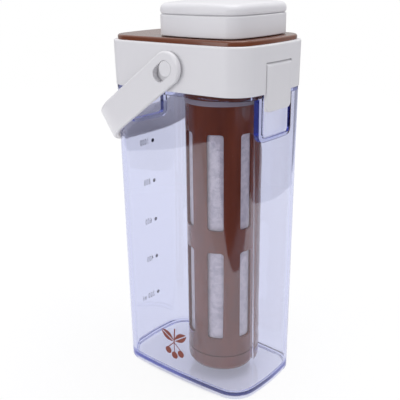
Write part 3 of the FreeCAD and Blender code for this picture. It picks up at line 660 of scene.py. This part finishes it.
# ------------------------------------------------------------------ jug
@dataclass
class Jug:
    """The clear jug with its printed volume scale and printed sprig."""

    frame: dict
    finishes: Finishes
    volumes: tuple[int, ...] = (200, 400, 600, 800, 1000)
    lowest_mark: float = 35.0 * MM
    mark_pitch: float = 29.65 * MM
    dot_radius: float = 1.4 * MM
    dot_steps: int = 28
    dot_y: float = 6.0 * MM
    digit_gap: float = 2.6 * MM
    lettering: Lettering = Lettering()
    sprig: Sprig = Sprig()
    sprig_centre: Span = (-1.5 * MM, 27.0 * MM)
    stand_off: float = 5.0 * MM
    ink_film: float = 0.02 * MM

    def build(self) -> None:
        """Dress the jug and print on it."""
        dress(self.frame, ("jug_body",), self.finishes.clear)
        self.print_scale()
        self.print_sprig()

    def print_scale(self) -> None:
        """Print a dot with its volume for each mark, read from outside the far end wall."""
        wall = self.frame["nodes"]["jug_body"]
        before_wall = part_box("jug_body")[0].x - self.stand_off
        outward_view = Matrix(((0, 0, 1), (-1, 0, 0), (0, 1, 0))).to_4x4()
        for step, volume in enumerate(self.volumes):
            height = self.lowest_mark + step * self.mark_pitch
            shape = self.lettering.draw(str(volume) if step else f"{volume} ml")
            bmesh.ops.translate(shape, verts=shape.verts,
                                vec=(self.dot_radius + self.digit_gap, 0, 0))
            bmesh.ops.create_circle(shape, cap_ends=True, segments=self.dot_steps,
                                    radius=self.dot_radius)
            bmesh.ops.transform(shape, verts=shape.verts, matrix=outward_view)
            bmesh.ops.translate(shape, verts=shape.verts, vec=(before_wall, self.dot_y, height))
            lay_on(shape, wall, Vector((1, 0, 0)), self.ink_film)
            new_piece(f"scale_mark_{volume}", shape, self.finishes.scale_ink, Body.JUG)

    def print_sprig(self) -> None:
        """Print the sprig upright on the front wall, near the foot."""
        shape = self.sprig.draw()
        upright = Matrix(((1, 0, 0), (0, 0, 1), (0, 1, 0))).to_4x4()
        bmesh.ops.transform(shape, verts=shape.verts, matrix=upright)
        x, z = self.sprig_centre
        before_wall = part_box("jug_body")[0].y - self.stand_off
        bmesh.ops.translate(shape, verts=shape.verts, vec=(x, before_wall, z))
        lay_on(shape, self.frame["nodes"]["jug_body"], Vector((0, 1, 0)), self.ink_film)
        new_piece("printed_sprig", shape, self.finishes.sprig_ink, Body.JUG)


# ------------------------------------------------------------------ lid
@dataclass
class Lid:
    """The latched lid: collar, board, liner, neck, seals, screws, pins and latches."""

    frame: dict
    finishes: Finishes

    def build(self) -> None:
        """Dress the lid's construction pieces."""
        dress(self.frame, ("collar", "lid_liner", "latch_left", "latch_right"),
              self.finishes.white)
        dress(self.frame, ("top_plate", "pour_neck"), self.finishes.board)
        dress(self.frame, ("liner_seal", "rim_gasket", "neck_gasket"), self.finishes.rubber)
        dress(self.frame, ("plate_screws", "liner_screws", "latch_pin_left", "latch_pin_right"),
              self.finishes.steel)


@dataclass
class Cap:
    """The twist-off cap with its seal."""

    frame: dict
    finishes: Finishes

    def build(self) -> None:
        """Dress the cap's construction pieces."""
        dress(self.frame, ("cap_skirt", "cap_cover"), self.finishes.white)
        dress(self.frame, ("cap_gasket",), self.finishes.rubber)


@dataclass
class Handle:
    """The swing handle."""

    frame: dict
    finishes: Finishes

    def build(self) -> None:
        """Dress the handle."""
        dress(self.frame, ("bail_handle",), self.finishes.white)


@dataclass
class Filter:
    """The hanging filter: cage, cloth, seals and twist-off base."""

    frame: dict
    finishes: Finishes

    def build(self) -> None:
        """Dress the filter's construction pieces."""
        dress(self.frame, ("filter_cage", "filter_base"), self.finishes.smoked)
        dress(self.frame, ("filter_mesh",), self.finishes.cloth)
        dress(self.frame, ("filter_gasket",), self.finishes.rubber)
        # The base seal takes a dark brown rubber, so its edge shows as a dark line at the
        # filter's foot.
        dress(self.frame, ("base_seal",), self.finishes.dark_rubber)


# ------------------------------------------------------------------ studio
@dataclass(frozen=True)
class SoftBox:
    """One area lamp, which shiny surfaces show if it is mirrored."""

    name: str
    place: Point
    size: Span
    power: float
    mirrored: bool = True

    def build(self, target: Point) -> None:
        """Add the lamp.

        Args:
            target: The point that it faces.
        """
        lamp = bpy.data.lights.new(self.name, "AREA")
        lamp.shape, lamp.energy = "RECTANGLE", self.power
        lamp.size, lamp.size_y = self.size
        holder = bpy.data.objects.new(self.name, lamp)
        holder.rotation_mode = "QUATERNION"
        holder.location = self.place
        holder.visible_glossy = self.mirrored
        aim = Vector(target) - Vector(self.place)
        holder.rotation_quaternion = aim.to_track_quat("-Z", "Y")
        bpy.context.scene.collection.objects.link(holder)


@dataclass
class Studio:
    """A plain pale floor, soft light and the camera."""

    azimuth: float = math.radians(38.84)
    elevation: float = math.radians(18.88)
    roll: float = math.radians(-0.664)
    lens_mm: float = 59.5
    sensor_mm: float = 36.0
    clip: Span = (0.01, 20.0)
    eye: Point = (259.96 * MM, -330.67 * MM, 264.76 * MM)
    table_left: float = -0.62
    table_right: float = 0.415
    table_front: float = 0.24
    table_back: float = -1.2
    air_gap: float = 0.1 * MM
    paper_colour: str = "#F4F4F6"
    glow: float = 1.03
    shade: float = 0.18
    shade_reach: Span = (0.12, 0.42)
    footprint: Span = (54.0 * MM, 37.5 * MM)
    under_shade: float = 0.58
    under_fade: Span = (0.7, 1.0)
    ambient: float = 0.6
    ambient_colour: str = "#F4F4FA"
    level_heights: Span = (0.0, 0.5)
    backdrop: Span = (0.42, 1.0)
    room: Span = (0.0, 0.5)
    room_colour: str = "#3B384E"
    room_begins: Span = (-0.35, -0.05)
    few_walls: Span = (2.0, 1.2)
    most_mirrors: float = 1.5
    aim: Point = (0.0, 0.0, 0.13)
    lamps: tuple[SoftBox, ...] = (
        SoftBox("key_light", (-0.25, -1.1, 0.36), (0.9, 0.6), 3.4),
        SoftBox("top_light", (0.1, 0.1, 1.25), (0.9, 0.9), 6.9),
        SoftBox("fill_light", (1.0, 0.0, 0.26), (0.7, 0.6), 0.95, mirrored=False))

    def build(self) -> None:
        """Set up the camera, the floor, the world and the lamps."""
        self.camera()
        self.floor()
        self.world()
        for lamp in self.lamps:
            lamp.build(self.aim)

    def camera(self) -> None:
        """Place the camera at its azimuth, elevation and roll."""
        level = math.cos(self.elevation)
        back = Vector((math.sin(self.azimuth) * level, -math.cos(self.azimuth) * level,
                       math.sin(self.elevation)))
        turn = (-back).to_track_quat("-Z", "Y") @ Quaternion((0, 0, 1), self.roll)
        lens = bpy.data.cameras.new("camera")
        lens.lens, lens.sensor_width = self.lens_mm, self.sensor_mm
        lens.clip_start, lens.clip_end = self.clip
        camera = bpy.data.objects.new("camera", lens)
        camera.rotation_mode = "QUATERNION"
        camera.location = self.eye
        camera.rotation_quaternion = turn
        bpy.context.scene.collection.objects.link(camera)
        bpy.context.scene.camera = camera

    def floor(self) -> None:
        """Lay the table, with its front edge near the object."""
        width, depth = self.table_right - self.table_left, self.table_front - self.table_back
        middle = Vector(((self.table_right + self.table_left) / 2,
                         -(self.table_front + self.table_back) / 2, -self.air_gap))
        shape = bmesh.new()
        bmesh.ops.create_grid(shape, x_segments=1, y_segments=1, size=0.5,
                              matrix=Matrix.Diagonal((width, depth, 1, 1)))
        bmesh.ops.translate(shape, verts=shape.verts, vec=middle)
        bmesh.ops.rotate(shape, verts=shape.verts, cent=(0, 0, 0),
                         matrix=Matrix.Rotation(self.azimuth, 3, "Z"))
        mesh = bpy.data.meshes.new("floor")
        shape.to_mesh(mesh)
        shape.free()
        mesh.materials.append(self.floor_paper())
        floor = bpy.data.objects.new("floor", mesh)
        bpy.context.scene.collection.objects.link(floor)

    def floor_paper(self) -> bpy.types.Material:
        """Return the table's paper.

        Returns:
            A paper that is white to the eye, with a share of lit paper near and under the jug,
            so that its real soft shadow shows there; under the jug that share follows the
            footprint's shape, which paints shade there as well.
        """
        material, tree, output = new_material("pale_floor")
        place = object_coordinates(tree)
        path = add_node(tree, "ShaderNodeLightPath")
        seen = add_node(tree, "ShaderNodeMath", {
            0: self.seen_directly(tree, path), 1: path.outputs["Is Glossy Ray"]},
            operation="MAXIMUM")
        paper = add_node(tree, "ShaderNodeBsdfDiffuse", {"Color": linear(self.paper_colour)})
        glow = add_node(tree, "ShaderNodeEmission", {"Color": WHITE, "Strength": self.glow})
        far = add_node(tree, "ShaderNodeVectorMath", {0: place}, operation="LENGTH")
        shade = add_node(tree, "ShaderNodeMapRange", {
            "Value": far.outputs["Value"], "From Min": self.shade_reach[0],
            "From Max": self.shade_reach[1], "To Min": self.shade, "To Max": 0.0},
            interpolation_type="SMOOTHSTEP")
        half_length, half_width = self.footprint
        inward = add_node(tree, "ShaderNodeVectorMath", {
            0: place, 1: (1 / half_length, 1 / half_width, 0.0)},
            operation="MULTIPLY").outputs["Vector"]
        squared = add_node(tree, "ShaderNodeVectorMath", {0: inward, 1: inward},
                           operation="MULTIPLY").outputs["Vector"]
        rounded = add_node(tree, "ShaderNodeVectorMath", {0: squared}, operation="LENGTH")
        # Painted shade: inside the jug's footprint the glow gives way to lit paper, darkening the
        # floor under the jug beyond its real shadow.
        under = add_node(tree, "ShaderNodeMapRange", {
            "Value": rounded.outputs["Value"], "From Min": self.under_fade[0],
            "From Max": self.under_fade[1], "To Min": self.under_shade, "To Max": 0.0},
            interpolation_type="SMOOTHSTEP")
        share = add_node(tree, "ShaderNodeMath", {
            0: shade.outputs["Result"], 1: under.outputs["Result"]}, operation="ADD")
        shown = add_node(tree, "ShaderNodeMixShader", {
            0: share.outputs[0], 1: glow.outputs["Emission"], 2: paper.outputs["BSDF"]})
        final = add_node(tree, "ShaderNodeMixShader", {
            0: seen.outputs[0], 1: paper.outputs["BSDF"], 2: shown.outputs["Shader"]})
        tree.links.new(final.outputs["Shader"], output.inputs["Surface"])
        return material

    def world(self) -> None:
        """Set the even light from all sides, the white backdrop and the room in the mirrors.

        Only what a shiny surface mirrors shows the dim room before the table. A ray that has
        gone through a few walls, or been mirrored often, meets its colour, any other one black.
        """
        world = bpy.data.worlds.new("studio")
        world.use_nodes = True
        tree = world.node_tree
        tree.nodes.clear()
        path = add_node(tree, "ShaderNodeLightPath")
        ray = add_node(tree, "ShaderNodeTexCoord").outputs["Generated"]
        front = Vector((math.sin(self.azimuth), -math.cos(self.azimuth), 0.0))
        forward = add_node(tree, "ShaderNodeVectorMath", {0: ray, 1: front},
                           operation="DOT_PRODUCT")
        height = add_node(tree, "ShaderNodeSeparateXYZ", {0: ray}).outputs["Z"]
        backdrop, room = [add_node(tree, "ShaderNodeMapRange", {
            "Value": height, "From Min": self.level_heights[0],
            "From Max": self.level_heights[1], "To Min": low, "To Max": high})
            for low, high in (self.backdrop, self.room)]
        mirrored = self.seen_in_gloss(tree, path)
        mirrored_level = add_node(tree, "ShaderNodeMapRange", {
            "Value": forward.outputs["Value"], "From Min": self.room_begins[0],
            "From Max": self.room_begins[1], "To Min": backdrop.outputs["Result"],
            "To Max": room.outputs["Result"]})
        level = add_node(tree, "ShaderNodeMix", {
            "Factor": mirrored, "A": 1.0, "B": mirrored_level.outputs["Result"]})
        shiny = add_node(tree, "ShaderNodeMath", {
            0: mirrored, 1: path.outputs["Is Transmission Ray"]}, operation="MAXIMUM")
        ambient = add_node(tree, "ShaderNodeBackground", {
            "Color": linear(self.ambient_colour), "Strength": self.ambient})
        crossed_few = add_node(tree, "ShaderNodeMath", {
            0: path.outputs["Transmission Depth"], 1: self.few_walls[0], 2: self.few_walls[1]},
            operation="COMPARE")
        mirrored_often = add_node(tree, "ShaderNodeMath", {
            0: path.outputs["Glossy Depth"], 1: self.most_mirrors}, operation="GREATER_THAN")
        deep = add_node(tree, "ShaderNodeMath", {
            0: crossed_few.outputs[0], 1: mirrored_often.outputs[0]}, operation="MAXIMUM")
        dark = add_node(tree, "ShaderNodeMix", {
            "Factor": deep.outputs[0], "A": BLACK, "B": linear(self.room_colour)},
            data_type="RGBA")
        tone = add_node(tree, "ShaderNodeMix", {
            "Factor": level.outputs["Result"], "A": dark.outputs["Result"], "B": WHITE},
            data_type="RGBA")
        around = add_node(tree, "ShaderNodeBackground", {
            "Color": tone.outputs["Result"], "Strength": 1.0})
        white = add_node(tree, "ShaderNodeBackground", {"Color": WHITE, "Strength": 1.0})
        lit = add_node(tree, "ShaderNodeMixShader", {
            0: shiny.outputs[0], 1: ambient.outputs["Background"],
            2: around.outputs["Background"]})
        final = add_node(tree, "ShaderNodeMixShader", {
            0: path.outputs["Is Camera Ray"], 1: lit.outputs["Shader"],
            2: white.outputs["Background"]})
        add_node(tree, "ShaderNodeOutputWorld", {"Surface": final.outputs["Shader"]})
        bpy.context.scene.world = world

    @staticmethod
    def seen_in_gloss(tree: bpy.types.NodeTree, path: bpy.types.Node) -> bpy.types.NodeSocket:
        """Return 1 for what has been mirrored by a shiny surface on its way to the eye."""
        return add_node(tree, "ShaderNodeMath", {0: path.outputs["Glossy Depth"], 1: 1.0},
                        operation="MINIMUM").outputs[0]

    @staticmethod
    def seen_directly(tree: bpy.types.NodeTree, path: bpy.types.Node) -> bpy.types.NodeSocket:
        """Return 1 for what the camera sees, straight or through the resin."""
        return add_node(tree, "ShaderNodeMath", {
            0: path.outputs["Is Camera Ray"], 1: path.outputs["Is Transmission Ray"]},
            operation="MAXIMUM").outputs[0]


def main() -> None:
    """Load the frame, dress each sub-assembly in turn and set the studio."""
    logging.basicConfig(level=logging.INFO, format="%(name)s %(message)s")
    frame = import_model()
    low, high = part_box("filter_mesh")
    middle = (low + high) / 2
    finishes = Finishes.build((middle.x / MM, middle.y / MM))
    for assembly in (Jug, Lid, Cap, Handle, Filter):
        LOG.info("dressing %s", assembly.__name__)
        assembly(frame, finishes).build()
    Studio().build()
    bpy.context.scene.view_settings.view_transform = "Standard"


if __name__ == "__main__":
    main()
